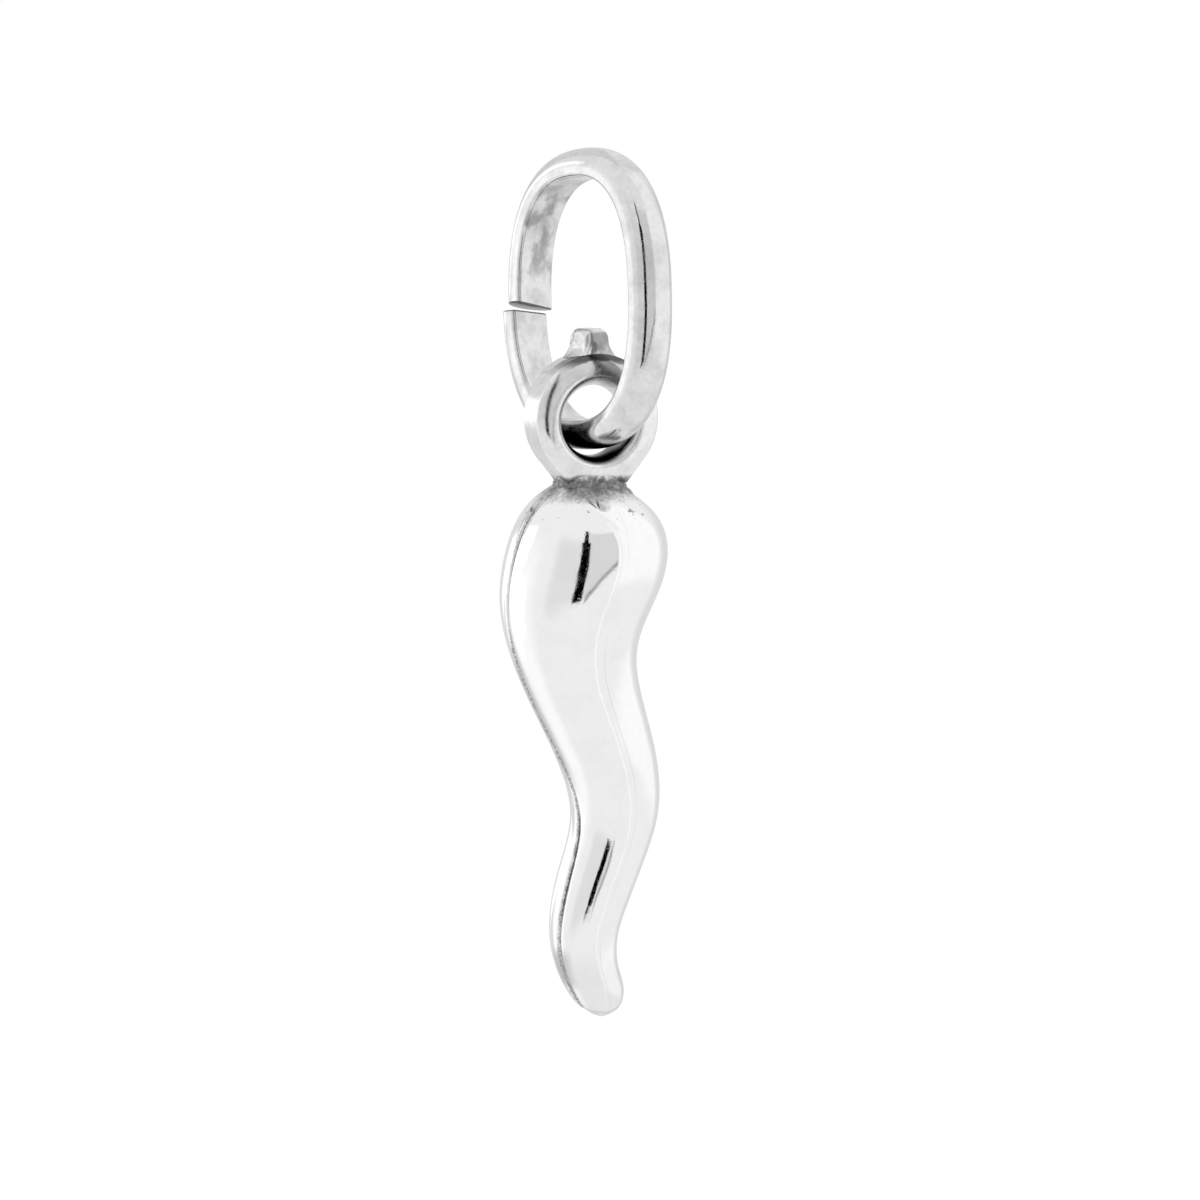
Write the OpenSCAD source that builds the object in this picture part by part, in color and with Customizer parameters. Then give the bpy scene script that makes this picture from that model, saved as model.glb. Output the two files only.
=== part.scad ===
// Cornicello horn pendant: a solid silver horn with a soldered eye, hanging from an oval jump ring.
// Millimetres, +Z up, the front towards -Y. The origin is the top of the jump ring's opening,
// where a chain lies.

/* [Jump ring] */
// Height of the ring's opening
ring_open_h = 5.52; // [4.5:0.02:7]
// Width of the ring's opening
ring_open_w = 3.58; // [3:0.02:4.5]
// Squareness of the oval, and of its far lower quarter: 2 is an ellipse, more is fuller
ring_square = [2.45, 2.65]; // [2:0.05:3.5]
// Width of the D-shaped wire, across the ring's plane
wire_w = 1.07; // [0.7:0.01:1.2]
// Thickness of the wire, from its flat inside to the crown of its outside
wire_t = 0.66; // [0.5:0.01:0.8]
// Height of the wire's upright sides, up to where its outside begins to dome
wire_side = 0.2; // [0.1:0.01:0.4]
// Turn of the ring about the vertical, and how far it leans aside and along its plane
ring_turn = 13; // [0:1:20]
ring_lean = 3; // [0:1:8]
ring_roll = -5; // [-8:1:0]
// Drop of the slit below the middle of the ring
slit_drop = 0.13; // [0:0.02:1]
// Width of the slit
slit_gap = 0.12; // [0.05:0.01:0.3]
// Slants of the slit's upper and lower face
slit_slant = [9, 4]; // [0:1:15]
// How far the lower end is sprung sideways and outwards
end_spring = [0.12, 0.06]; // [0:0.01:0.3]

/* [Eye] */
// Place of the bore's centre: sideways, to the back and up
eye_at = [-0.18, -0.52, -5.48]; // [-6:0.01:0]
// Turn of the eye about the vertical, against the horn
eye_turn = -8; // [-20:1:10]
// Radius of the bore at its waist
bore_r = 0.8; // [0.7:0.005:1]
// How much wider the bore's mouths are
flare = 0.26; // [0.1:0.01:0.4]
// Outer radius of the eye, and the rise of its centre above the bore's
eye_r = 1.5; // [1.3:0.01:1.8]
eye_rise = 0.05; // [0:0.01:0.2]
// Depth of the eye, front to back
eye_depth = 1.18; // [0.9:0.01:1.5]
// Width and drop of the dome that slopes from each face to the outer edge
dome = [0.42, 0.19]; // [0.05:0.01:0.5]

/* [Nub] */
// Height of the nub above the top of the eye
nub_h = 0.53; // [0.3:0.01:0.8]
// Width and depth of its foot
nub_foot = [0.76, 0.88]; // [0.4:0.02:1.2]
// Width and depth of its top
nub_top = [0.62, 0.6]; // [0.2:0.02:0.8]
// Shift of the foot and of the top, sideways
nub_aside = [0.06, 0]; // [-0.3:0.01:0.3]
// Shift of the foot and of the top, to the back
nub_back = [0.07, 0.08]; // [-0.3:0.01:0.3]
// Turn of the nub on the eye
nub_turn = 18; // [0:1:30]

/* [Horn] */
// Place of the horn's axis: sideways and to the back
horn_at = [-0.22, -0.5]; // [-1:0.01:1]
// Half the width of the eye's foot, where it leaves the rim and where it ends
eye_foot = [1.1, 0.73]; // [0.5:0.01:1.3]
// How far below the bore's centre these two places lie
eye_foot_drop = [0.97, 1.44]; // [0.8:0.01:1.6]
// Depth of the foot
eye_foot_depth = 0.76; // [0.4:0.01:1]
// Radius of the soldered neck
neck_r = 0.83; // [0.6:0.01:1]
// Width and depth of the groove where the two halves join
seam = [0.09, 0.05]; // [0:0.01:0.15]

/* [Hidden] */

// Thickness of the slices that a hull spans
sheet = 0.02;

Z = 0;
X = 1;
BACK = 2;
W = 3;
D = 4;
SEAM = 5;
// One row for each section of the horn: height, middle sideways and to the back, half width, half
// depth, and how far back the seam lies
HORN = [
    [-6.92, -0.04, 0.00, 0.74, 0.74, 0.00],
    [-7.07, -0.08, 0.00, 0.94, 0.94, 0.00],
    [-7.30, -0.07, 0.00, 1.24, 1.24, 0.00],
    [-7.76, -0.02, 0.00, 1.62, 1.65, 0.03],
    [-8.45, -0.06, 0.00, 1.84, 1.88, 0.07],
    [-9.38, -0.26, 0.00, 1.82, 1.82, 0.10],
    [-10.54, -0.44, 0.00, 1.52, 1.50, 0.12],
    [-11.93, -0.08, 0.00, 1.33, 1.22, 0.12],
    [-13.34, 0.48, 0.02, 1.17, 1.11, 0.06],
    [-14.77, 0.74, 0.16, 1.01, 1.01, 0.04],
    [-15.92, 0.47, 0.31, 0.96, 0.96, 0.08],
    [-16.63, 0.26, 0.38, 0.91, 0.91, 0.14],
    [-17.57, 0.09, 0.42, 0.79, 0.79, 0.24],
    [-18.28, 0.18, 0.40, 0.73, 0.73, 0.26],
    [-18.81, 0.35, 0.34, 0.67, 0.67, 0.22],
    [-19.20, 0.41, 0.26, 0.47, 0.47, 0.18],
    [-19.41, 0.44, 0.20, 0.08, 0.08, 0.18],
];

ring_stations = 72;
wire_steps = 12;
row_steps = 4;
side_steps = 18;
dome_steps = 6;
lip_steps = 9;
fine = 96;

// A power that keeps the sign, for superellipses
function spow(v, p) = sign(v) * pow(abs(v), p);

// Points of a closed sweep: rings of equal length, capped flat at both ends
module sweep(rings) {
    n = len(rings[0]);
    m = len(rings);
    points = [for (r = rings) each r];
    sides = [
        for (j = [0:m - 2], i = [0:n - 1])
            [j * n + i, j * n + (i + 1) % n, (j + 1) * n + (i + 1) % n, (j + 1) * n + i]
    ];
    tris = [for (q = sides) each [[q[0], q[1], q[2]], [q[0], q[2], q[3]]]];
    start = [for (i = [n - 1:-1:0]) i];
    finish = [for (i = [0:n - 1]) (m - 1) * n + i];
    polyhedron(points, concat([start], tris, [finish]), convexity = 6);
}

// The ring's opening is a superellipse: a point on it, and its outward direction, at an angle
// from the horizontal, both as [across, up] in the ring's own plane
half_w = ring_open_w / 2;
half_h = ring_open_h / 2;
function squareness(a) = cos(a) < 0 && sin(a) < 0 ? ring_square[1] : ring_square[0];
function oval(a) =
    let (p = 2 / squareness(a))
        [half_w * spow(cos(a), p), half_h * spow(sin(a), p) - half_h];
function oval_out(a) =
    let (
        p = 2 - 2 / squareness(a),
        n = [spow(cos(a), p) / half_w, spow(sin(a), p) / half_h]
    ) n / norm(n);

// The wire's section: a flat inside, upright sides and an elliptical dome, as [aside, out]
wire = concat(
    [[wire_w / 2, 0]],
    [
        for (i = [0:wire_steps])
            let (a = 180 * i / wire_steps)
                [wire_w / 2 * cos(a), wire_side + (wire_t - wire_side) * sin(a)]
    ],
    [[-wire_w / 2, 0]]
);

function ease(t) = t * t * (3 - 2 * t);

// A station of the ring. The far limb's end below the slit is sprung aside and outwards.
slit_a = asin(pow(slit_drop / half_h, ring_square[1] / 2));
function station(k) =
    let (
        t = k / (ring_stations - 1),
        a = 180 + slit_a - 360 * t,
        p = oval(a),
        n = oval_out(a),
        tangent = [n[1], -n[0]],
        spring = ease(max(0, 5 * t - 4)),
        cut = k == 0 ? [slit_gap / 2, tan(slit_slant[0])]
            : k == ring_stations - 1 ? [-slit_gap / 2, tan(slit_slant[1])]
            : [0, 0]
    )
    [for (w = wire)
        let (q = p + n * (w[1] + end_spring[1] * spring) + tangent * (cut[0] + w[0] * cut[1]))
            [-w[0] - end_spring[0] * spring, -q[0], q[1]]
    ];

module jump_ring() {
    color("gainsboro")
        rotate([0, 0, ring_turn])
            rotate([0, ring_lean, 0])
                rotate([ring_roll, 0, 0])
                    sweep([for (k = [0:ring_stations - 1]) station(k)]);
}

// The eye's disc about the Y axis: its faces slope in a dome to a plain outer edge
module eye_disc() {
    d = eye_depth / 2;
    front = [
        for (i = [dome_steps:-1:0])
            let (t = i / dome_steps)
                [eye_r - dome[0] * (1 - t), d - dome[1] * t * t]
    ];
    back = [for (i = [len(front) - 1:-1:0]) [front[i][0], -front[i][1]]];
    rotate([90, 0, 0])
        rotate_extrude($fn = fine)
            polygon(concat(front, [[0, d], [0, -d]], back));
}

// What is bored out of it: a waist that flares in an elliptical curve to both mouths
module bore() {
    d = eye_depth / 2;
    side = [
        for (i = [-lip_steps:lip_steps])
            let (a = 90 * i / lip_steps)
                [bore_r + flare * (1 - cos(a)), d * sin(a)]
    ];
    mouth = bore_r + flare;
    rotate([90, 0, 0])
        rotate_extrude($fn = fine)
            polygon(concat([[0, -2 * d], [mouth, -2 * d]], side, [[mouth, 2 * d], [0, 2 * d]]));
}

module nub() {
    top_z = eye_rise + eye_r;
    sunk = 0.2;
    bevel = 0.09;
    rotate([0, 0, nub_turn])
        hull() {
            translate([nub_aside[0], nub_back[0], top_z - sunk])
                cube([nub_foot[0], nub_foot[1], sheet], center = true);
            translate([nub_aside[1], nub_back[1], top_z + nub_h - bevel])
                cube([nub_top[0], nub_top[1], sheet], center = true);
            translate([nub_aside[1], nub_back[1], top_z + nub_h - sheet / 2])
                cube([nub_top[0] - 2 * bevel, nub_top[1] - 2 * bevel, sheet], center = true);
        }
}

// Catmull-Rom through the rows of the table, with the rows' own heights as the knots
function slope(rows, i) =
    i == 0 ? (rows[1] - rows[0]) / (rows[1][Z] - rows[0][Z])
    : i == len(rows) - 1 ? (rows[i] - rows[i - 1]) / (rows[i][Z] - rows[i - 1][Z])
    : (rows[i + 1] - rows[i - 1]) / (rows[i + 1][Z] - rows[i - 1][Z]);
function between(rows, i, t) =
    let (h = rows[i + 1][Z] - rows[i][Z])
        (2 * t * t * t - 3 * t * t + 1) * rows[i]
        + (t * t * t - 2 * t * t + t) * h * slope(rows, i)
        + (3 * t * t - 2 * t * t * t) * rows[i + 1]
        + (t * t * t - t * t) * h * slope(rows, i + 1);

// A section of the horn: an ellipse that the seam cuts at both sides, with the points on the cut
// drawn in. It starts at the right-hand cut and goes round by the back.
function section(r) =
    let (
        cut = asin((r[BACK] - r[SEAM]) / r[D]),
        lip = asin(min(0.3, seam[0] / 2 / r[D])),
        in = min(seam[1], r[W] / 4)
    )
    [for (s = [0, 1])
        let (from = s == 0 ? -cut : 180 + cut, to = s == 0 ? 180 + cut : 360 - cut)
            each concat(
                [[r[X] + (r[W] * cos(cut) - in) * (1 - 2 * s), r[SEAM], r[Z]]],
                [
                    for (i = [0:side_steps])
                        let (a = from + lip + (to - from - 2 * lip) * i / side_steps)
                            [r[X] + r[W] * cos(a), r[BACK] + r[D] * sin(a), r[Z]]
                ]
            )
    ];

// The horn's rings lie along the table, a few for each row
module horn_body() {
    rows = len(HORN);
    rings = concat(
        [for (i = [0:rows - 2], k = [0:row_steps - 1]) between(HORN, i, k / row_steps)],
        [HORN[rows - 1]]
    );
    translate([horn_at[0], horn_at[1], 0])
        sweep([for (r = rings) section(r)]);
}

// The eye's foot is filled out with solder, straight down from the rim to the neck
module foot() {
    hull()
        for (i = [0, 1])
            translate([-eye_foot[i], -eye_foot_depth / 2, -eye_foot_drop[i]])
                cube([2 * eye_foot[i], eye_foot_depth, sheet]);
}

// The soldered neck narrows upwards, from the horn's top to the underside of the eye
module neck() {
    low = HORN[1][Z];
    translate([horn_at[0], horn_at[1], 0])
        hull()
            for (n = [[low, 1.08, 1.08], [low + 0.12, 1, 0.94], [low + 0.34, 0.92, 0.74]])
                translate([0, 0, n[0]])
                    scale([n[1] * neck_r, n[2] * neck_r, 1])
                        cylinder(r = 1, h = sheet, $fn = fine);
}

module horn() {
    color("silver")
        difference() {
            union() {
                translate(eye_at)
                    rotate([0, 0, eye_turn]) {
                        translate([0, 0, eye_rise])
                            eye_disc();
                        nub();
                        foot();
                    }
                neck();
                horn_body();
            }
            translate(eye_at)
                rotate([0, 0, eye_turn])
                    bore();
        }
}

jump_ring();
horn();
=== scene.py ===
# A small silver horn charm on an oval split jump ring, about 20 mm tall, hanging upright.
# The ring is one body of the frame. The eye, nub, neck and horn are soldered together and swing
# on it as the other, so every piece here rides on one of the two.
import math

import bpy
import numpy as np
from mathutils import Matrix, Vector


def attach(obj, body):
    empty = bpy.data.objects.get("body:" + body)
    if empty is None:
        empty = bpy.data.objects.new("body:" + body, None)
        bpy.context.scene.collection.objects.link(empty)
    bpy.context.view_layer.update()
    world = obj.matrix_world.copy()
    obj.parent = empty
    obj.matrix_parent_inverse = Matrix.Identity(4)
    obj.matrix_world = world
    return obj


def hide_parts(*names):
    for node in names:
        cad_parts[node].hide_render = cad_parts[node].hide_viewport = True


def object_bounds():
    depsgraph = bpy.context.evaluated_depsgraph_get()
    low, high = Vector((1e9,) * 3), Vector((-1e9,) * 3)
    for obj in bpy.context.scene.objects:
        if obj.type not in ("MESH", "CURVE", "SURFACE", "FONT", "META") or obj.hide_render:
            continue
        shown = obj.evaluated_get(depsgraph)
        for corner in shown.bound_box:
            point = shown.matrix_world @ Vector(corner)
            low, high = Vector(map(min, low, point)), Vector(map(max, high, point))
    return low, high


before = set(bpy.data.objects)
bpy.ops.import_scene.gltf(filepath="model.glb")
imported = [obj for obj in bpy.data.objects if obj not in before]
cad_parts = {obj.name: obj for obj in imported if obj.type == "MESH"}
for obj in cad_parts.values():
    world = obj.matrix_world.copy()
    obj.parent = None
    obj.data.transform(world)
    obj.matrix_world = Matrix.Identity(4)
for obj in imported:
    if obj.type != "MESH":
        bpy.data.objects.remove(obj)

cad_bounds = [list(corner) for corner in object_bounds()]

# The lens stands 30 degrees round to the left of the pendant's front and a little above its middle,
# 87 mm away. Sizes are in millimetres throughout, and become metres where a mesh or a place is made.
MM = 0.001
look_at = Vector((0.202, -0.269, -9.66)) * MM
lens_turn = math.radians(-30)
lens_rise = math.radians(7)
lens_distance = 87 * MM
half_view = 13.793 * MM
lens_side = Vector(
    (
        math.sin(lens_turn) * math.cos(lens_rise),
        -math.cos(lens_turn) * math.cos(lens_rise),
        math.sin(lens_rise),
    )
)
camera = bpy.data.objects.new("camera", bpy.data.cameras.new("camera"))
camera.data.lens = camera.data.sensor_width / 2 * lens_distance / half_view
camera.data.clip_start = 1 * MM
camera.location = look_at + lens_side * lens_distance
camera.rotation_euler = (-lens_side).to_track_quat("-Z", "Y").to_euler()
bpy.context.scene.collection.objects.link(camera)
bpy.context.scene.camera = camera
bpy.context.scene.view_settings.view_transform = "Standard"

# A white light tent stands round the pendant. It is open in one upright slit for the lens, and has
# a few greyer and brighter cloths. The polished silver shows the slit as thin black lines. Seen
# straight, the tent is plain white.
# One row for each patch: its sides in degrees to the right of the lens, its foot and top in degrees
# above the horizon, how much both climb for each degree to the right, the softness of its edges, and
# its light.
LEFT, RIGHT, FOOT, TOP, CLIMB, SOFT, LIGHT = range(7)
TENT_LIGHT = 0.91
TENT_PATCHES = [
    [-180, -126, -90, 90, 0.0, 5.0, 0.76],
    [-116, -74, -60, 20, 0.0, 14.0, 1.03],
    [-121, -101, -30, 6, 0.0, 5.0, 1.1],
    [-103, -86, -22, 6, 0.0, 4.0, 1.22],
    [-147, -97, -11, 5, 0.5, 3.0, 1.4],
    [50, 128, -18, 80, 0.0, 6.0, 1.03],
    [134, 180, -90, 20, 0.0, 12.0, 0.74],
    [-48, -6, -16, 34, 0.0, 8.0, 0.78],
    [0, 46, -19, 44, 0.6, 1.0, 0.72],
    [-1, 60, 43, 90, 0.0, 1.5, 0.91],
    [7, 44, -20.5, -15, 0.6, 1.6, 0.36],
    [46, 47.4, -60, 60, 0.0, 0.4, 1.15],
    [-10.5, 2.5, -16, 32, 0.0, 0.8, 0.0],
    [-8, -1.5, 28, 46, 0.0, 0.8, 0.0],
]


def math_node(tree, operation, *values):
    """A Math node whose inputs are sockets or plain numbers, and its output."""
    node = tree.nodes.new("ShaderNodeMath")
    node.operation = operation
    for socket, value in zip(node.inputs, values):
        if isinstance(value, bpy.types.NodeSocket):
            tree.links.new(value, socket)
        else:
            socket.default_value = value
    return node.outputs[0]


def step_up(tree, value, low, high):
    """0 below low, 1 above high and a smooth step between them."""
    node = tree.nodes.new("ShaderNodeMapRange")
    node.interpolation_type = "SMOOTHSTEP"
    tree.links.new(value, node.inputs["Value"])
    node.inputs["From Min"].default_value = low
    node.inputs["From Max"].default_value = high
    return node.outputs["Result"]


def between(tree, value, low, high, soft):
    """1 from low to high and 0 outside, with edges twice as wide as soft."""
    rise = step_up(tree, value, low - soft, low + soft)
    fall = step_up(tree, value, high - soft, high + soft)
    return math_node(tree, "SUBTRACT", rise, fall)


def tent_world():
    """The tent as a sky: from each direction comes the base light, replaced in turn by each patch
    where the direction lies within its sides, foot and top."""
    world = bpy.data.worlds.new("light_tent")
    world.use_nodes = True
    tree = world.node_tree
    tree.nodes.clear()
    sky = tree.nodes.new("ShaderNodeTexCoord").outputs["Generated"]
    turned = tree.nodes.new("ShaderNodeVectorRotate")
    turned.rotation_type = "Z_AXIS"
    turned.inputs["Angle"].default_value = -lens_turn
    tree.links.new(sky, turned.inputs["Vector"])
    axes = tree.nodes.new("ShaderNodeSeparateXYZ")
    tree.links.new(turned.outputs[0], axes.inputs[0])
    away = math_node(tree, "MULTIPLY", axes.outputs["Y"], -1)
    turn = math_node(tree, "ARCTAN2", axes.outputs["X"], away)
    turn = math_node(tree, "DEGREES", turn)
    rise = math_node(tree, "ARCSINE", axes.outputs["Z"])
    rise = math_node(tree, "DEGREES", rise)
    light = TENT_LIGHT
    for patch in TENT_PATCHES:
        aside = between(tree, turn, patch[LEFT], patch[RIGHT], patch[SOFT])
        climb = math_node(tree, "MULTIPLY_ADD", turn, -patch[CLIMB], rise)
        start = patch[CLIMB] * patch[LEFT]
        up = between(tree, climb, patch[FOOT] - start, patch[TOP] - start, patch[SOFT])
        mask = math_node(tree, "MULTIPLY", aside, up)
        mix = tree.nodes.new("ShaderNodeMix")
        tree.links.new(mask, mix.inputs["Factor"])
        if isinstance(light, float):
            mix.inputs["A"].default_value = light
        else:
            tree.links.new(light, mix.inputs["A"])
        mix.inputs["B"].default_value = patch[LIGHT]
        light = mix.outputs["Result"]
    tent = tree.nodes.new("ShaderNodeBackground")
    tree.links.new(light, tent.inputs["Color"])
    plain = tree.nodes.new("ShaderNodeBackground")
    plain.inputs["Color"].default_value = (1, 1, 1, 1)
    path = tree.nodes.new("ShaderNodeLightPath")
    either = tree.nodes.new("ShaderNodeMixShader")
    tree.links.new(path.outputs["Is Camera Ray"], either.inputs["Fac"])
    tree.links.new(tent.outputs[0], either.inputs[1])
    tree.links.new(plain.outputs[0], either.inputs[2])
    out = tree.nodes.new("ShaderNodeOutputWorld")
    tree.links.new(either.outputs[0], out.inputs["Surface"])
    return world


bpy.context.scene.world = tent_world()

# The floor is a wide round of white paper, well below the pendant's tip. A soft lamp far overhead
# lights it evenly. Neither shows in the silver, where the tent's own lower half does.
FLOOR_DROP = 12
FLOOR_RADIUS = 600
FLOOR_SIDES = 96
floor_z = cad_bounds[0][2] / MM - FLOOR_DROP
floor_turn = np.linspace(0, 2 * np.pi, FLOOR_SIDES, endpoint=False)
floor_edge = np.stack(
    [
        FLOOR_RADIUS * np.cos(floor_turn),
        FLOOR_RADIUS * np.sin(floor_turn),
        np.full(FLOOR_SIDES, floor_z),
    ],
    axis=-1,
)
floor_mesh = bpy.data.meshes.new("floor")
floor_mesh.from_pydata((floor_edge * MM).tolist(), [], [list(range(FLOOR_SIDES))])
floor = bpy.data.objects.new("floor", floor_mesh)
bpy.context.scene.collection.objects.link(floor)
floor.visible_glossy = False
paper = bpy.data.materials.new("white_paper")
paper.use_nodes = True
paper_shader = paper.node_tree.nodes["Principled BSDF"]
paper_shader.inputs["Base Color"].default_value = (0.93, 0.93, 0.93, 1)
paper_shader.inputs["Roughness"].default_value = 1.0
paper_shader.inputs["Specular IOR Level"].default_value = 0.0
floor_mesh.materials.append(paper)

lamp_data = bpy.data.lights.new("overhead", "SUN")
lamp_data.energy = 0.7
lamp_data.angle = math.radians(90)
lamp = bpy.data.objects.new("overhead", lamp_data)
lamp.visible_glossy = False
bpy.context.scene.collection.objects.link(lamp)

# The jump ring: a length of D-shaped silver wire, flat side inwards, bent into an oval. Its two ends
# are cut at a slant and meet at a slit in the far limb, where the lower end is sprung aside. It
# hangs on the chain and isn't soldered shut.
ring_open_h = 5.52
ring_open_w = 3.58
ring_square = 2.45
ring_far_square = 2.65
wire_w = 1.07
wire_t = 0.66
wire_side = 0.2
wire_corner = 0.1
ring_turn, ring_lean, ring_roll = 13, 3, -5
slit_drop = 0.13
slit_gap = 0.12
slit_slants = (9, 4)
spring_aside, spring_out = 0.12, 0.06
cut_bevel = 0.03
cut_rows = 7
cut_stations = 8
ring_stations = 300
wire_points = 150


def signed_power(value, power):
    """A power that keeps its base's sign, which turns an ellipse's cosine and sine into those of a
    superellipse."""
    return np.sign(value) * np.abs(value) ** power


def even_steps(line, count):
    """Points at equal distances along a line of points, ends included."""
    length = np.concatenate([[0], np.cumsum(np.linalg.norm(np.diff(line, axis=0), axis=1))])
    places = np.linspace(0, length[-1], count)
    return np.stack([np.interp(places, length, axis) for axis in line.T], axis=-1)


def wire_section(count):
    """The wire's closed outline as [aside, out]: an elliptical dome on upright sides over a flat inner
    side, with a quarter circle at both of the flat side's corners."""
    dome_turn = np.linspace(0, np.pi, 2000)
    dome = np.stack(
        [wire_w / 2 * np.cos(dome_turn), wire_side + (wire_t - wire_side) * np.sin(dome_turn)],
        axis=-1,
    )
    corner_turn = np.linspace(-np.pi / 2, 0, 100)
    right = np.stack(
        [
            wire_w / 2 - wire_corner + wire_corner * np.cos(corner_turn),
            wire_corner + wire_corner * np.sin(corner_turn),
        ],
        axis=-1,
    )
    left = right[::-1] * [-1, 1]
    outline = np.concatenate([right, dome, left, right[:1]])[::-1]
    return even_steps(outline, count + 1)[:-1]


def ring_path(count):
    """The opening's outline in the ring's own plane, as [across, up] from its top: a superellipse that
    starts under the slit's upper face and goes round by the top, squarer in its far lower quarter.
    With it come its outward directions and the share of the way round."""
    half_w, half_h = ring_open_w / 2, ring_open_h / 2
    slit_turn = math.asin((slit_drop / half_h) ** (ring_far_square / 2))
    turn = np.linspace(np.pi + slit_turn, slit_turn - np.pi, 8000)
    far_low = (np.cos(turn) < 0) & (np.sin(turn) < 0)
    power = 2 / np.where(far_low, ring_far_square, ring_square)
    line = np.stack(
        [
            half_w * signed_power(np.cos(turn), power),
            half_h * signed_power(np.sin(turn), power) - half_h,
        ],
        axis=-1,
    )
    line = even_steps(line, count)
    along = np.gradient(line, axis=0)
    along /= np.linalg.norm(along, axis=1, keepdims=True)
    out = np.stack([-along[:, 1], along[:, 0]], axis=-1)
    share = np.linspace(0, 1, count)
    return line, along, out, share


def placed(name, mesh, body, node):
    """The mesh as a smooth piece in the scene. It rides on its body, in place of its CAD node."""
    mesh.shade_smooth()
    piece = bpy.data.objects.new(name, mesh)
    bpy.context.scene.collection.objects.link(piece)
    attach(piece, body)
    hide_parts(node)
    return piece


def skin(name, sections, body, node, marks=None):
    """A closed mesh over a grid of points in millimetres, one row for each section: quads between
    neighbours, each row closed on itself, and a fan to the middle at both ends. marks, two numbers
    for each point, become its UV."""
    rows, steps = sections.shape[:2]
    places = np.concatenate([sections.reshape(-1, 3), sections[[0, -1]].mean(axis=1)]) * MM
    here = np.arange(rows * steps).reshape(rows, steps)
    beside = np.roll(here, -1, axis=1)
    quads = np.stack([here[:-1], beside[:-1], beside[1:], here[1:]], axis=-1).reshape(-1, 4)
    first = np.stack([beside[0], here[0], np.full(steps, rows * steps)], axis=-1)
    last = np.stack([here[-1], beside[-1], np.full(steps, rows * steps + 1)], axis=-1)
    mesh = bpy.data.meshes.new(name)
    mesh.from_pydata(places.tolist(), [], quads.tolist() + first.tolist() + last.tolist())
    if marks is not None:
        corners = np.empty(len(mesh.loops), dtype=int)
        mesh.loops.foreach_get("vertex_index", corners)
        marks = np.concatenate([marks.reshape(-1, 2), marks[[0, -1]].mean(axis=1)])
        mesh.uv_layers.new(name="marks").data.foreach_set("uv", marks[corners].ravel())
    return placed(name, mesh, body, node)


def ring_sections():
    """The wire's section carried along the opening's outline. At both ends it draws in along a quarter
    circle, and the ends lean by their slants. The last fifth is sprung aside and outwards."""
    section = wire_section(wire_points)
    line, along, out, share = ring_path(ring_stations)
    round_turn = np.linspace(0, np.pi / 2, cut_rows)
    rounds = cut_bevel * (1 - np.cos(round_turn))
    drawn_in = cut_bevel * (1 - np.sin(round_turn))
    spring = np.clip(5 * share - 4, 0, 1)
    spring = spring * spring * (3 - 2 * spring)
    rows = [(0, slit_gap / 2 + r, d, slit_slants[0]) for r, d in zip(rounds, drawn_in)]
    rows += [(k, 0, 0, 0) for k in range(cut_stations, len(line) - cut_stations)]
    rows += [(-1, -slit_gap / 2 - r, d, slit_slants[1]) for r, d in zip(rounds[::-1], drawn_in[::-1])]
    place, shift, draw, slant = (np.array(column) for column in zip(*rows))
    middle = np.array([0, wire_t / 2])
    small = middle + (section - middle) * (1 - draw[:, None, None] / (wire_t / 2))
    lean = shift[:, None] + small[..., 0] * np.tan(np.radians(slant))[:, None]
    flat = (
        line[place][:, None]
        + out[place][:, None] * (small[..., 1] + spring_out * spring[place][:, None])[..., None]
        + along[place][:, None] * lean[..., None]
    )
    aside = -small[..., 0] - spring_aside * spring[place][:, None]
    own = np.stack([aside, -flat[..., 0], flat[..., 1]], axis=-1)
    turned = (
        Matrix.Rotation(math.radians(ring_turn), 3, "Z")
        @ Matrix.Rotation(math.radians(ring_lean), 3, "Y")
        @ Matrix.Rotation(math.radians(ring_roll), 3, "X")
    )
    marks = np.stack([small[..., 1], np.broadcast_to(share[place][:, None], small.shape[:2])], axis=-1)
    return own @ np.array(turned).T, marks


def noise_node(tree, where, size, detail=3.0, stretch=(1, 1, 1), turn=(0, 0, 0)):
    """Soft noise whose clouds measure about size millimetres, stretched and turned if need be."""
    mapping = tree.nodes.new("ShaderNodeMapping")
    mapping.inputs["Rotation"].default_value = [math.radians(a) for a in turn]
    mapping.inputs["Scale"].default_value = stretch
    tree.links.new(where, mapping.inputs["Vector"])
    noise = tree.nodes.new("ShaderNodeTexNoise")
    noise.inputs["Scale"].default_value = 1 / (size * MM)
    noise.inputs["Detail"].default_value = detail
    tree.links.new(mapping.outputs[0], noise.inputs["Vector"])
    return noise.outputs["Fac"]


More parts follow.
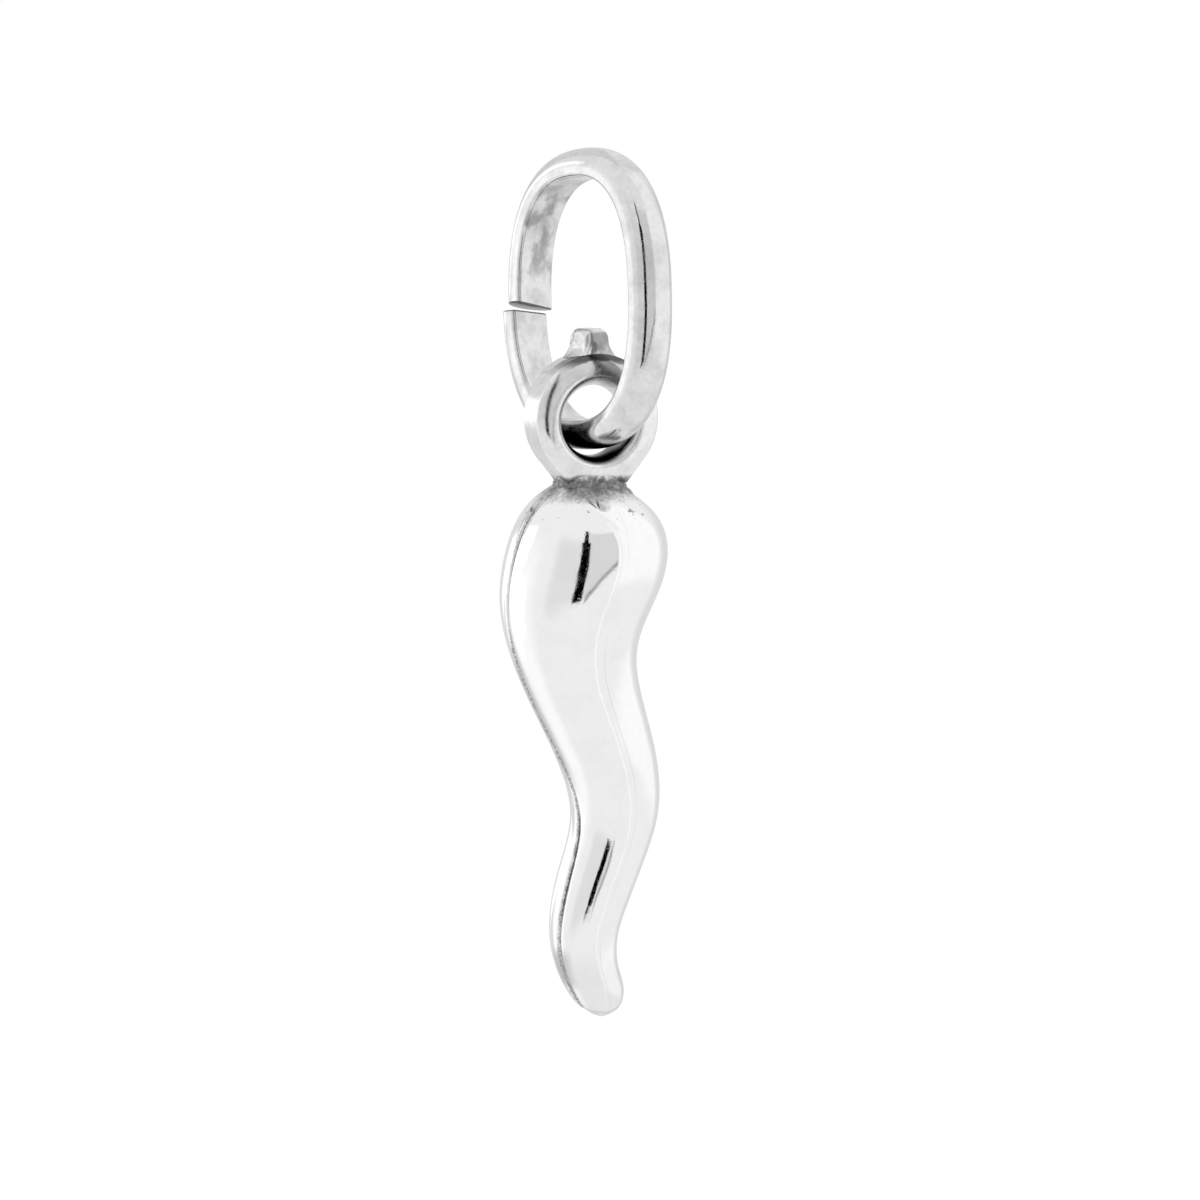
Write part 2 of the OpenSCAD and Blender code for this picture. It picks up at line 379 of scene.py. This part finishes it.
def silver_wear_group():
    """The wear of polished silver as one group. Cloudy and fine smudges darken the tone and dull the
    shine, fine scratches in three directions and shallow dents tilt the normal."""
    group = bpy.data.node_groups.new("silver_wear", "ShaderNodeTree")
    for name, value in (
        ("Smudge", 0.3),
        ("Scratch", 0.3),
        ("Dent", 0.3),
        ("Shine Loss", 0.1),
    ):
        socket = group.interface.new_socket(name, in_out="INPUT", socket_type="NodeSocketFloat")
        socket.default_value = value
    for name in ("Tone", "Roughness", "Height"):
        group.interface.new_socket(name, in_out="OUTPUT", socket_type="NodeSocketFloat")
    given = group.nodes.new("NodeGroupInput").outputs
    result = group.nodes.new("NodeGroupOutput").inputs
    where = group.nodes.new("ShaderNodeTexCoord").outputs["Object"]
    clouds = step_up(group, noise_node(group, where, 0.55, 5.0), 0.4, 0.7)
    grain = step_up(group, noise_node(group, where, 0.12, 2.0), 0.35, 0.75)
    marks = math_node(group, "MULTIPLY_ADD", grain, 0.6, clouds)
    smudge = math_node(group, "MULTIPLY", marks, given["Smudge"])
    tone = math_node(group, "SUBTRACT", 1.0, smudge)
    group.links.new(tone, result["Tone"])
    dull_and_shade = math_node(group, "MULTIPLY", marks, given["Shine Loss"])
    scratches = None
    for turn in ((0, 20, 10), (35, -15, 60), (70, 50, 0)):
        lines = noise_node(group, where, 0.6, 1.0, (1, 14, 14), turn)
        lines = step_up(group, lines, 0.62, 0.72)
        scratches = (
            lines if scratches is None
            else math_node(group, "MAXIMUM", scratches, lines)
        )
    scratched = math_node(group, "MULTIPLY", scratches, given["Scratch"])
    rough = math_node(group, "MULTIPLY_ADD", scratched, 0.08, dull_and_shade)
    group.links.new(rough, result["Roughness"])
    dents = noise_node(group, where, 0.7, 2.0)
    dented = math_node(group, "MULTIPLY", dents, given["Dent"])
    height = math_node(group, "MULTIPLY_ADD", scratched, -0.05, dented)
    group.links.new(height, result["Height"])
    return group


def solder_tarnish_group():
    """The dark left by soldering, as a mask over height: full at the neck, speckled where it thins out
    over the eye's foot and the horn's shoulder."""
    group = bpy.data.node_groups.new("solder_tarnish", "ShaderNodeTree")
    group.interface.new_socket("Mask", in_out="OUTPUT", socket_type="NodeSocketFloat")
    result = group.nodes.new("NodeGroupOutput").inputs
    where = group.nodes.new("ShaderNodeTexCoord").outputs["Object"]
    axes = group.nodes.new("ShaderNodeSeparateXYZ")
    group.links.new(where, axes.inputs[0])
    above_foot = step_up(group, axes.outputs["Z"], -7.55 * MM, -6.95 * MM)
    above_top = step_up(group, axes.outputs["Z"], -6.86 * MM, -6.6 * MM)
    band = math_node(group, "SUBTRACT", above_foot, above_top)
    streaks = noise_node(group, where, 0.13, 4.0, (1.6, 1.6, 0.5))
    thinned = math_node(group, "ADD", band, streaks)
    tarnish_and_shade = step_up(group, thinned, 0.78, 1.6)
    specks = step_up(group, noise_node(group, where, 0.26, 2.5, (1, 1, 1.4)), 0.64, 0.69)
    strewn = between(group, axes.outputs["Z"], -7.62 * MM, -7.2 * MM, 0.08 * MM)
    specks = math_node(group, "MULTIPLY", specks, strewn)
    both = math_node(group, "MAXIMUM", tarnish_and_shade, specks)
    group.links.new(both, result["Mask"])
    return group


silver_wear = silver_wear_group()
solder_tarnish = solder_tarnish_group()


def silver(name, tone=0.95, rough=0.06, smudge=0.1, scratch=0.5, dent=0.3, shine_loss=0.06,
           tarnish=0.0):
    """Polished silver: a metal with its own tone and roughness, its share of the common wear and,
    where it is near the solder the tarnish of that."""
    material = bpy.data.materials.new(name)
    material.use_nodes = True
    tree = material.node_tree
    shader = tree.nodes["Principled BSDF"]
    shader.inputs["Metallic"].default_value = 1.0
    wear = tree.nodes.new("ShaderNodeGroup")
    wear.node_tree = silver_wear
    wear.inputs["Smudge"].default_value = smudge
    wear.inputs["Scratch"].default_value = scratch
    wear.inputs["Dent"].default_value = dent
    wear.inputs["Shine Loss"].default_value = shine_loss
    shade = math_node(tree, "MULTIPLY", wear.outputs["Tone"], tone)
    gloss = math_node(tree, "ADD", wear.outputs["Roughness"], rough)
    if tarnish:
        solder = tree.nodes.new("ShaderNodeGroup")
        solder.node_tree = solder_tarnish
        dark = math_node(tree, "MULTIPLY", solder.outputs["Mask"], tarnish)
        light = math_node(tree, "SUBTRACT", 1.0, dark)
        shade = math_node(tree, "MULTIPLY", shade, light)
        gloss = math_node(tree, "MULTIPLY_ADD", dark, 0.4, gloss)
    tree.links.new(shade, shader.inputs["Base Color"])
    tree.links.new(gloss, shader.inputs["Roughness"])
    bump = tree.nodes.new("ShaderNodeBump")
    bump.inputs["Distance"].default_value = 0.02 * MM
    tree.links.new(wear.outputs["Height"], bump.inputs["Height"])
    tree.links.new(bump.outputs[0], shader.inputs["Normal"])
    return material


def darkened(material, mask_of, keep, metal=1.0):
    """The same silver with its tone multiplied down to keep, and its metallic part down to metal, where
    a mask is 1. mask_of builds the mask from the object's coordinates."""
    tree = material.node_tree
    shader = tree.nodes["Principled BSDF"]
    shade = shader.inputs["Base Color"].links[0].from_socket
    where = tree.nodes.new("ShaderNodeTexCoord").outputs["Object"]
    mask = mask_of(tree, where)
    light = math_node(tree, "MULTIPLY_ADD", mask, keep - 1, 1.0)
    shade = math_node(tree, "MULTIPLY", shade, light)
    tree.links.new(shade, shader.inputs["Base Color"])
    if metal < 1:
        part = math_node(tree, "MULTIPLY_ADD", mask, metal - 1, 1.0)
        tree.links.new(part, shader.inputs["Metallic"])
    return material


ring_rows, ring_marks = ring_sections()
ring = skin("jump_ring_wire", ring_rows, "jump_ring", "jump_ring", ring_marks)
ring_silver = silver("ring_silver", tone=0.8, rough=0.06, smudge=0.13, dent=0.5)


def uv_marks(tree):
    """The two numbers that skin() keeps in a mesh's UV."""
    uv = tree.nodes.new("ShaderNodeUVMap")
    uv.uv_map = "marks"
    axes = tree.nodes.new("ShaderNodeSeparateXYZ")
    tree.links.new(uv.outputs[0], axes.inputs[0])
    return axes.outputs["X"], axes.outputs["Y"]


def inverse(tree, mask):
    """1 where the mask is 0, and 0 where it is 1."""
    return math_node(tree, "SUBTRACT", 1.0, mask)


def ring_bottom_painted_shade(tree, where):
    """1 on the wire's outside at the very bottom of the ring, where it rests in the eye's bore: painted
    shade, darkened almost to black.
    """
    axes = tree.nodes.new("ShaderNodeSeparateXYZ")
    tree.links.new(where, axes.inputs[0])
    return inverse(tree, step_up(tree, axes.outputs["Z"], -6.11 * MM, -5.94 * MM))


def ring_inside(tree, where):
    """1 in the cloudy smudges of the flat inner side, which grow towards the top of the ring."""
    out, share = uv_marks(tree)
    inner = inverse(tree, step_up(tree, out, 0.02, 0.09))
    clouds = step_up(tree, noise_node(tree, where, 0.5, 5.0, (1, 1, 0.7), (20, 0, 40)), 0.42, 0.62)
    upper = between(tree, share, 0.05, 0.2, 0.03)
    spread = math_node(tree, "MULTIPLY_ADD", upper, 0.7, 0.3)
    cloudy = math_node(tree, "MULTIPLY", clouds, spread)
    return math_node(tree, "MULTIPLY", cloudy, inner)


def ring_cuts_and_slit_shade(tree, where):
    """1 on the two cut faces and their corners, which face each other across the narrow slit: painted
    shade in the slit, on sawn silver that was left as it was.
    """
    _, share = uv_marks(tree)
    middle = math_node(tree, "SUBTRACT", share, 0.5)
    apart = math_node(tree, "ABSOLUTE", middle)
    return step_up(tree, apart, 0.4992, 0.49995)


# Painted shade: the ring's bottom, inside the eye's bore, is darkened almost to black.
darkened(ring_silver, ring_bottom_painted_shade, 0.03)
darkened(ring_silver, ring_inside, 0.5)
# Painted shade in the slit: the cut faces are darkened and lose their metal shine, on top of being left
# unpolished.
darkened(ring_silver, ring_cuts_and_slit_shade, 0.2, 0.0)
ring.data.materials.append(ring_silver)

# The eye: a thick round loop of silver, bored through front to back for the ring, with its rims
# rounded over by polishing. It is soldered upright on the horn, turned a little against it.
eye_at = np.array([-0.18, -0.52, -5.48])
eye_turn = -8
bore_r = 0.8
flare = 0.26
eye_r = 1.5
eye_rise = 0.05
eye_depth = 1.18
dome_w, dome_drop = 0.42, 0.19
edge_round = 0.03
# Where the foot's slope leaves the rim and where it ends, sideways and up from the bore's centre.
eye_foot = np.array([[1.1, -0.97], [0.73, -1.44]])
eye_points = 150
eye_stations = 200


def turned_about_z(points, degrees):
    """Points turned about the vertical."""
    return points @ np.array(Matrix.Rotation(math.radians(degrees), 3, "Z")).T


def eye_profile(count):
    """The eye's closed outline as [radius, depth]: a waist that flares in an elliptical curve to the
    mouth, a face that slopes in a parabola to the outer edge, and the same at the back. The edge is
    taken off by a small round."""
    half_d = eye_depth / 2
    quarter = np.linspace(0, np.pi / 2, 200)
    mouth = np.stack([bore_r + flare * (1 - np.cos(quarter)), half_d * np.sin(quarter)], axis=-1)
    share = np.linspace(0, 1, 200)
    face = np.stack([eye_r - dome_w * (1 - share), half_d - dome_drop * share**2], axis=-1)
    face = face[face[:, 0] < eye_r - edge_round]
    bend = np.linspace(math.atan2(dome_w, 2 * dome_drop), 0, 30)
    start = face[-1] - edge_round * np.array([math.cos(bend[0]), math.sin(bend[0])])
    edge = start + edge_round * np.stack([np.cos(bend), np.sin(bend)], axis=-1)
    edge[:, 0] = np.minimum(edge[:, 0], eye_r)
    front = np.concatenate([mouth, face, edge])
    back = front[::-1] * [1, -1]
    return even_steps(np.concatenate([front, back, front[:1]]), count + 1)[:-1]


def eye_sections():
    """The outline carried round the bore. The rim's circle stands a little higher than the bore, so
    the outline widens to meet it. Below, the rim goes straight from one end of the foot's slope to
    the other, and flat across the bottom."""
    profile = eye_profile(eye_points)
    turn = np.linspace(2 * np.pi, 0, eye_stations, endpoint=False)
    reach = eye_rise * np.sin(turn) + np.sqrt(eye_r**2 - (eye_rise * np.cos(turn)) ** 2)
    start, end = eye_foot
    slope = end - start
    down = np.clip(-np.sin(turn), 0.1, 1)
    across = start[0] * slope[1] - start[1] * slope[0]
    sloped = across / (np.abs(np.cos(turn)) * slope[1] + down * slope[0])
    footed = np.minimum(sloped, -end[1] / down)
    on_foot = down > -start[1] / np.linalg.norm(start)
    reach = np.where(on_foot, np.maximum(reach, footed), reach)
    inner = bore_r + flare
    share = np.clip((profile[:, 0] - inner) / (eye_r - inner), 0, 1)
    radius = profile[:, 0] + share * (reach[:, None] - eye_r)
    depth = np.broadcast_to(profile[:, 1], radius.shape)
    own = np.stack(
        [radius * np.cos(turn)[:, None], depth, radius * np.sin(turn)[:, None]], axis=-1
    )
    return eye_at + turned_about_z(own, eye_turn)


def loop_skin(name, sections, body, node):
    """A closed mesh over a grid that meets itself both ways, as a ring's does."""
    rows, steps = sections.shape[:2]
    here = np.arange(rows * steps).reshape(rows, steps)
    beside, above = np.roll(here, -1, axis=1), np.roll(here, -1, axis=0)
    opposite = np.roll(beside, -1, axis=0)
    quads = np.stack([here, beside, opposite, above], axis=-1).reshape(-1, 4)
    mesh = bpy.data.meshes.new(name)
    mesh.from_pydata((sections.reshape(-1, 3) * MM).tolist(), [], quads.tolist())
    return placed(name, mesh, body, node)


eye = loop_skin("eye", eye_sections(), "horn", "horn")
eye_silver = silver("eye_silver", tone=0.87, rough=0.12, smudge=0.1, dent=0.5, tarnish=0.75)


def eye_place(tree, where):
    """A point's place in the eye's own frame, as sockets: across, deep and up from the bore's centre,
    and its distance from the bore's axis."""
    apart = tree.nodes.new("ShaderNodeVectorMath")
    apart.operation = "SUBTRACT"
    apart.inputs[1].default_value = (eye_at * MM).tolist()
    tree.links.new(where, apart.inputs[0])
    turned = tree.nodes.new("ShaderNodeVectorRotate")
    turned.rotation_type = "Z_AXIS"
    turned.inputs["Angle"].default_value = math.radians(-eye_turn)
    tree.links.new(apart.outputs[0], turned.inputs["Vector"])
    axes = tree.nodes.new("ShaderNodeSeparateXYZ")
    tree.links.new(turned.outputs[0], axes.inputs[0])
    across, deep, up = (axes.outputs[name] for name in "XYZ")
    square = math_node(tree, "MULTIPLY", across, across)
    square = math_node(tree, "MULTIPLY_ADD", up, up, square)
    return across, deep, up, math_node(tree, "SQRT", square)


def bore_painted_shade(tree, where):
    """1 on the bore's wall, most of all on its floor: painted shade inside the bore, darkened almost to
    black. It is weaker on the right."""
    across, _, up, radius = eye_place(tree, where)
    inside = inverse(tree, step_up(tree, radius, 0.86 * MM, 0.96 * MM))
    low = step_up(tree, up, 0.3 * MM, -0.35 * MM)
    bore_shade = math_node(tree, "MULTIPLY", inside, low)
    right_side = step_up(tree, across, 0.35 * MM, 0.75 * MM)
    kept = math_node(tree, "MULTIPLY_ADD", right_side, -0.6, 1.0)
    return math_node(tree, "MULTIPLY", bore_shade, kept)


def nub_painted_shade(tree, where):
    """1 in a dark arc along the eye's upper front edge, under the nub, and in a dark patch beside the
    bore: both painted shade.
    """
    across, deep, up, radius = eye_place(tree, where)
    rough = noise_node(tree, where, 0.15, 4.0)
    edge = math_node(tree, "MULTIPLY_ADD", rough, 0.1 * MM, radius)
    edge = between(tree, edge, 1.42 * MM, 1.6 * MM, 0.03 * MM)
    high = step_up(tree, up, 1.05 * MM, 1.4 * MM)
    arc = math_node(tree, "MULTIPLY", edge, high)
    beside = math_node(tree, "SUBTRACT", across, 0.27 * MM)
    above = math_node(tree, "SUBTRACT", up, 1.08 * MM)
    square = math_node(tree, "MULTIPLY", beside, beside)
    square = math_node(tree, "MULTIPLY_ADD", above, above, square)
    near = math_node(tree, "SQRT", square)
    near = math_node(tree, "MULTIPLY_ADD", rough, 0.3 * MM, near)
    dark_patch = inverse(tree, step_up(tree, near, 0.35 * MM, 0.58 * MM))
    dark_patch = math_node(tree, "MULTIPLY", dark_patch, 0.45)
    both = math_node(tree, "MAXIMUM", arc, dark_patch)
    front = step_up(tree, deep, 0.1 * MM, -0.1 * MM)
    return math_node(tree, "MULTIPLY", both, front)


# Painted shade: the inside of the bore, darkest on its floor.
darkened(eye_silver, bore_painted_shade, 0.03)
# Painted shade: a dark arc under the nub and a dark patch beside the bore.
darkened(eye_silver, nub_painted_shade, 0.14)
eye.data.materials.append(eye_silver)

# The nub: the stump of the casting sprue, filed to a squarish block on top of the eye. It is one
# with the eye's metal, and rougher than the rest.
nub_h = 0.53
nub_foot = (0.76, 0.88)
nub_top = (0.62, 0.6)
nub_aside = (0.06, 0)
nub_back = (0.07, 0.08)
nub_turn = 18
nub_sunk = 0.2
nub_bevel_w, nub_bevel_h = 0.13, 0.19
nub_fillet = 0.34
nub_corner = 5
nub_rows = 60
nub_points = 160


def nub_sections():
    """Rounded squares, stacked: they spread at the foot along a quarter circle, shrink evenly towards
    the top, and draw in over the last stretch along a quarter ellipse. The sides bulge unevenly, as
    cast, and the foot follows the eye's round top."""
    eye_top = eye_rise + eye_r
    foot_z = eye_top - nub_sunk
    top_z = eye_top + nub_h
    bevel_turn = np.linspace(0, np.pi / 2, 16)
    shaft = np.linspace(foot_z, top_z - nub_bevel_h, nub_rows)[:-1]
    height = np.concatenate([shaft, top_z - nub_bevel_h * (1 - np.sin(bevel_turn))])[:, None]
    draw = np.concatenate([0 * shaft, nub_bevel_w * (1 - np.cos(bevel_turn))])[:, None]
    share = (height - foot_z) / (top_z - foot_z)
    low = np.clip((eye_top + 0.7 * nub_fillet - height) / nub_fillet, 0, 1)
    spread = nub_fillet * (1 - np.sqrt(1 - low**2))
    turn = np.linspace(0, 2 * np.pi, nub_points, endpoint=False)
    across = signed_power(np.cos(turn), 2 / nub_corner)
    deep = signed_power(np.sin(turn), 2 / nub_corner)
    half_w = (nub_foot[0] + (nub_top[0] - nub_foot[0]) * share) / 2 - draw
    half_d = (nub_foot[1] + (nub_top[1] - nub_foot[1]) * share) / 2 - draw
    uneven = 0.014 * np.sin(5 * turn + 5 * share) + 0.008 * np.sin(9 * turn - 9 * share)
    x = nub_aside[0] * (1 - share) + (half_w + spread + uneven) * across
    y = nub_back[0] + (nub_back[1] - nub_back[0]) * share + (half_d + uneven) * deep
    sag = eye_r - np.sqrt(eye_r**2 - x**2)
    z = height - sag * low
    return eye_at + turned_about_z(np.stack([x, y, z], axis=-1), nub_turn + eye_turn)


nub = skin("nub", nub_sections(), "horn", "horn")
nub_silver = silver("nub_silver", tone=0.8, rough=0.2, smudge=0.25, dent=0.8)


def nub_front_painted_shade(tree, where):
    """1 on the nub's right-hand front, most of all near the top: painted shade on that face, which also
    kept its rough casting skin.
    """
    across, deep, up, _ = eye_place(tree, where)
    rough = noise_node(tree, where, 0.2, 4.0)
    aside = math_node(tree, "MULTIPLY_ADD", deep, -0.25, across)
    aside = math_node(tree, "MULTIPLY_ADD", rough, 0.08 * MM, aside)
    right = step_up(tree, aside, -0.06 * MM, 0.02 * MM)
    high = step_up(tree, up, 1.4 * MM, 1.85 * MM)
    patchy = math_node(tree, "MULTIPLY_ADD", high, 0.3, rough)
    patchy = step_up(tree, patchy, 0.2, 0.8)
    top = inverse(tree, step_up(tree, up, 1.96 * MM, 2.04 * MM))
    patchy = math_node(tree, "MULTIPLY", patchy, top)
    return math_node(tree, "MULTIPLY", right, patchy)


# Painted shade on the nub's right-hand front face.
darkened(nub_silver, nub_front_painted_shade, 0.45)
nub.data.materials.append(nub_silver)

# The neck: the solder that holds the eye on the horn, left rough and dark between the two. It fills
# the corner under the eye and runs out over the horn's shoulder.
horn_at = (-0.22, -0.5)
neck_rows = 90
neck_points = 240
# One row for each section of the neck: height, half width and half depth.
NECK = np.array(
    [
        [-6.62, 0.70, 0.50],
        [-6.74, 0.79, 0.62],
        [-6.86, 0.83, 0.74],
        [-6.94, 0.84, 0.80],
        [-7.01, 0.87, 0.85],
        [-7.08, 0.94, 0.93],
        [-7.15, 1.00, 0.99],
        [-7.24, 1.03, 1.03],
    ]
)


def neck_sections():
    """Ellipses, stacked along the table of height, half width and half depth: a waist that spreads over
    the horn's shoulder, with small lumps that run round it and up it."""
    share = np.linspace(0, 1, neck_rows)
    place = np.linspace(0, 1, len(NECK))
    height, half_w, half_d = (np.interp(share, place, column)[:, None] for column in NECK.T)
    turn = np.linspace(0, 2 * np.pi, neck_points, endpoint=False)
    lumps = 0.010 * np.sin(9 * turn + 2 * np.sin(14 * share)[:, None])
    lumps = lumps + 0.006 * np.sin(23 * turn + 31 * share[:, None])
    lumps = lumps * np.clip(4 * (1 - share), 0, 1)[:, None]
    return np.stack(
        [
            horn_at[0] + (half_w + lumps) * np.cos(turn),
            horn_at[1] + (half_d + lumps) * np.sin(turn),
            np.broadcast_to(height, (len(share), len(turn))),
        ],
        axis=-1,
    )


neck = skin("solder_neck", neck_sections()[:, ::-1], "horn", "horn")
neck.data.materials.append(
    silver("neck_solder", tone=0.9, rough=0.12, smudge=0.15, dent=1.5, tarnish=0.75)
)

# The horn: two silver halves, front and back, joined edge to edge and polished, with the seam left as
# a groove down both sides. The back half stops a little short of the front half's tip.
# One row for each section of the horn: height, middle sideways and to the back, half width, half
# depth, and how far back the seam lies.
HEIGHT, MIDDLE, BACK, HALF_W, HALF_D, SEAM = range(6)
HORN = np.array(
    [
        [-6.92, -0.04, 0.00, 0.74, 0.74, 0.00],
        [-7.07, -0.08, 0.00, 0.94, 0.94, 0.00],
        [-7.30, -0.07, 0.00, 1.24, 1.24, 0.00],
        [-7.76, -0.02, 0.00, 1.62, 1.65, 0.03],
        [-8.45, -0.06, 0.00, 1.84, 1.88, 0.07],
        [-9.38, -0.26, 0.00, 1.82, 1.82, 0.10],
        [-10.54, -0.44, 0.00, 1.52, 1.50, 0.12],
        [-11.93, -0.08, 0.00, 1.33, 1.22, 0.12],
        [-13.34, 0.48, 0.02, 1.17, 1.11, 0.06],
        [-14.77, 0.74, 0.16, 1.01, 1.01, 0.04],
        [-15.92, 0.47, 0.31, 0.96, 0.96, 0.08],
        [-16.63, 0.26, 0.38, 0.91, 0.91, 0.14],
        [-17.57, 0.09, 0.42, 0.79, 0.79, 0.24],
        [-18.28, 0.18, 0.40, 0.73, 0.73, 0.26],
        [-18.81, 0.35, 0.34, 0.67, 0.67, 0.22],
        [-19.20, 0.41, 0.26, 0.47, 0.47, 0.18],
        [-19.41, 0.44, 0.20, 0.08, 0.08, 0.18],
    ]
)
seam_round = 0.12
seam_gap = 0.004
edge_points = 14
half_points = 90
horn_stations = 420
back_tip_z = -18.6
back_tip_rise = 0.06


def spline_through(rows, count):
    """A natural cubic spline through the table's rows, read at even steps. Its parameter is the
    distance from row to row, and its second slopes solve the usual three-banded equations."""
    steps = np.linalg.norm(np.diff(rows, axis=0)[:, [HEIGHT, MIDDLE, HALF_W]], axis=1)
    knots = np.concatenate([[0], np.cumsum(steps)])
    slopes = np.diff(rows, axis=0) / steps[:, None]
    bands = np.eye(len(rows))
    inner = np.arange(1, len(rows) - 1)
    bands[inner, inner - 1] = steps[:-1]
    bands[inner, inner] = 2 * (steps[:-1] + steps[1:])
    bands[inner, inner + 1] = steps[1:]
    right = np.zeros_like(rows)
    right[1:-1] = 6 * np.diff(slopes, axis=0)
    bend = np.linalg.solve(bands, right)
    places = np.linspace(0, knots[-1], count)
    i = np.clip(np.searchsorted(knots, places, side="right") - 1, 0, len(rows) - 2)
    h = steps[i][:, None]
    a = (knots[i + 1] - places)[:, None] / h
    b = 1 - a
    return (
        a * rows[i]
        + b * rows[i + 1]
        + ((a**3 - a) * bend[i] + (b**3 - b) * bend[i + 1]) * h**2 / 6
    )


def half_sections(rows, side):
    """One half's sections: the part of an ellipse on one side of the seam. Its edge turns in along a
    quarter circle to the flat where it meets the other half. side is -1 for the front half and 1
    for the back."""
    middle, back, half_w, half_d, seam = (rows[:, [c]] for c in (MIDDLE, BACK, HALF_W, HALF_D, SEAM))
    edge = np.minimum(seam_round, 0.3 * half_d)
    edge_y = edge * (1 - np.cos(np.linspace(0, np.pi / 2, edge_points)))
    edge_turn = np.arcsin(np.clip((side * edge_y + seam - back) / half_d, -0.98, 0.98))
    share = np.linspace(0, 1, half_points)[1:-1]
    body_turn = edge_turn[:, -1:] + (side * np.pi - 2 * edge_turn[:, -1:]) * share
    turn = np.concatenate([edge_turn, body_turn, side * np.pi - edge_turn[:, ::-1]], axis=1)
    deep = side * (back - seam + half_d * np.sin(turn))
    beside = np.clip(edge - deep, 0, None)
    draw = edge - np.sqrt(np.clip(edge**2 - beside**2, 0, None))
    x = middle + half_w * np.cos(turn) - np.sign(np.cos(turn)) * draw
    y = seam + side * (deep + seam_gap / 2)
    z = np.broadcast_to(rows[:, [HEIGHT]], x.shape)
    marks = np.stack([np.sign(np.cos(turn)) * deep, z], axis=-1)
    return np.stack([horn_at[0] + x, horn_at[1] + y, z], axis=-1), marks


horn_rows = spline_through(HORN, horn_stations)
front_sections, front_marks = half_sections(horn_rows, -1)
front_half = skin("horn_front_half", front_sections, "horn", "horn", front_marks)
back_rows = horn_rows.copy()
back_rows[:, HEIGHT] += back_tip_rise * np.clip((back_tip_z - back_rows[:, HEIGHT]) / 0.8, 0, 1)
back_sections, back_marks = half_sections(back_rows, 1)
back_half = skin("horn_back_half", back_sections[:, ::-1], "horn", "horn", back_marks[:, ::-1])
horn_silver = silver(
    "horn_silver", tone=0.94, rough=0.045, smudge=0.02, scratch=0.2, dent=0.5, tarnish=0.6
)


# Stretches of the seam, each with the heights where it starts and ends.
WAIST = (-13.8, -10.7)
TIP = (-19.2, -17.75)
TIP_SHADE = (-18.65, -17.8)
POLISHED = (-10.2, -8.7)
SHOULDER = (-9.1, -8.0)


def seam_dirt_and_painted_shade(tree, where):
    """1 in the groove between the halves, broader at the top, waist and tip, and almost clean below
    the shoulder. A fainter scuffed line runs beside it near the top. Beside the groove at the waist
    and just above the tip, painted shade darkens the silver, and it is a little darker all round the
    tip. U is the distance from the cut in millimetres, below 0 on the left, and V the height."""
    across, height = uv_marks(tree)
    apart = math_node(tree, "ABSOLUTE", across)
    uneven = noise_node(tree, where, 0.16, 5.0)
    waist = between(tree, height, *WAIST, 0.6)
    tip = between(tree, height, *TIP, 0.2)
    top = step_up(tree, height, *SHOULDER)
    reach = math_node(tree, "MULTIPLY_ADD", uneven, -0.12, apart)
    reach = math_node(tree, "MULTIPLY_ADD", waist, -0.045, reach)
    reach = math_node(tree, "MULTIPLY_ADD", tip, -0.03, reach)
    reach = math_node(tree, "MULTIPLY_ADD", top, -0.045, reach)
    groove = inverse(tree, step_up(tree, reach, -0.035, 0.015))
    polished = between(tree, height, *POLISHED, 0.35)
    kept = math_node(tree, "MULTIPLY_ADD", polished, -0.75, 1.0)
    kept = math_node(tree, "MULTIPLY_ADD", top, -0.3, kept)
    groove = math_node(tree, "MULTIPLY", groove, kept)
    beside = math_node(tree, "MULTIPLY_ADD", uneven, 0.12, apart)
    scuff = between(tree, beside, 0.19, 0.23, 0.03)
    scuff = math_node(tree, "MULTIPLY", scuff, top)
    both = math_node(tree, "MAXIMUM", groove, scuff)
    specks = step_up(tree, noise_node(tree, where, 0.05, 3.0), 0.3, 0.6)
    patchy = math_node(tree, "MULTIPLY_ADD", specks, 0.6, 0.4)
    both = math_node(tree, "MULTIPLY", both, patchy)
    # Painted shade beside the groove at the waist and just above the tip, and a slight darkening all
    # round the tip.
    near = inverse(tree, step_up(tree, apart, 0.04, 0.4))
    tarnish_and_shade = between(tree, height, *TIP_SHADE, 0.2)
    tarnish_and_shade = math_node(tree, "MULTIPLY", tarnish_and_shade, 0.7)
    dull_and_shade = math_node(tree, "MULTIPLY_ADD", waist, 0.45, tarnish_and_shade)
    dull_and_shade = math_node(tree, "MULTIPLY", dull_and_shade, near)
    darker_tip = math_node(tree, "MULTIPLY", step_up(tree, height, -17.5, -18.4), 0.12)
    dull_and_shade = math_node(tree, "MAXIMUM", dull_and_shade, darker_tip)
    return math_node(tree, "MAXIMUM", both, dull_and_shade)


# The seam's dark groove, and painted shade beside it at the waist and above the tip.
darkened(horn_silver, seam_dirt_and_painted_shade, 0.35)
front_half.data.materials.append(horn_silver)
back_half.data.materials.append(horn_silver)
